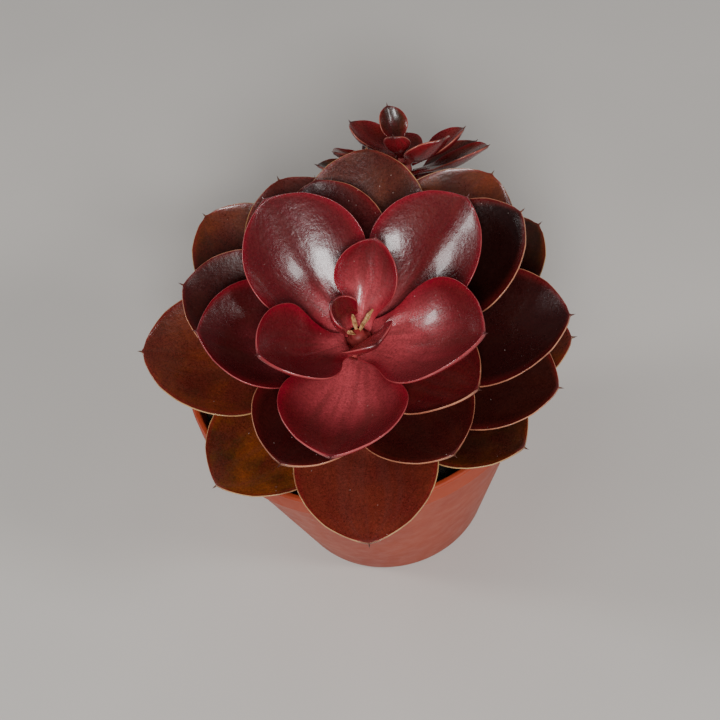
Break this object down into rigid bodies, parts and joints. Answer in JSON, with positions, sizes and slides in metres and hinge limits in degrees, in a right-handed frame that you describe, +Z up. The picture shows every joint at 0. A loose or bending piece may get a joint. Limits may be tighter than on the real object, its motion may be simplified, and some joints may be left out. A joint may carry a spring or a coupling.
{
  "type": "potted echeveria",
  "caption": "Dark-red echeveria: a wide open rosette of fleshy pointed leaves and a small offset rosette behind it, in a round tapered orange plastic nursery pot of soil.",
  "frame": {"origin": "centre of the pot's flat base, on the surface that it stands on", "axes": "+Z up along the pot's axis; -Y towards the front, the side that the main rosette leans to; the offset rosette is at +Y"},
  "size_m": [0.152, 0.1899, 0.162],
  "materials": {
    "pot_plastic": "smooth satin orange-red plastic",
    "soil": "rough dark potting soil with pale grit",
    "stem": "dull brown, ringed with leaf scars",
    "inner_leaf": "waxy satin wine red with pink base and pale margin",
    "middle_leaf": "waxy satin burgundy with a tan margin",
    "outer_leaf": "waxy satin brown and olive with a tan margin",
    "pup_leaf": "waxy satin red and olive with a pale margin",
    "dry_scrap": "dry papery tan"
  },
  "bodies": {
    "root": {"dry_scrap_1": "dry_scrap", "dry_scrap_2": "dry_scrap", "dry_scrap_3": "dry_scrap", "leaf_01": "inner_leaf", "leaf_02": "inner_leaf", "leaf_03": "inner_leaf", "leaf_04": "inner_leaf", "leaf_05": "inner_leaf", "leaf_06": "inner_leaf", "leaf_07": "inner_leaf", "leaf_08": "inner_leaf", "leaf_09": "inner_leaf", "leaf_10": "middle_leaf", "leaf_11": "middle_leaf", "leaf_12": "middle_leaf", "leaf_13": "middle_leaf", "leaf_14": "middle_leaf", "leaf_15": "middle_leaf", "leaf_16": "middle_leaf", "leaf_18": "middle_leaf", "leaf_19": "outer_leaf", "leaf_20": "outer_leaf", "leaf_21": "outer_leaf", "leaf_22": "outer_leaf", "leaf_23": "outer_leaf", "leaf_24": "outer_leaf", "leaf_25": "outer_leaf", "leaf_26": "outer_leaf", "leaf_27": "outer_leaf", "leaf_29": "outer_leaf", "main_stem": "stem", "pot": "pot_plastic", "pup_leaf_02": "pup_leaf", "pup_leaf_03": "pup_leaf", "pup_leaf_04": "pup_leaf", "pup_leaf_05": "pup_leaf", "pup_leaf_06": "pup_leaf", "pup_leaf_07": "pup_leaf", "pup_leaf_08": "pup_leaf", "pup_leaf_09": "pup_leaf", "pup_leaf_10": "pup_leaf", "pup_leaf_12": "pup_leaf", "pup_leaf_13": "pup_leaf", "pup_stem": "stem", "soil": "soil"}
  },
  "joints": []
}
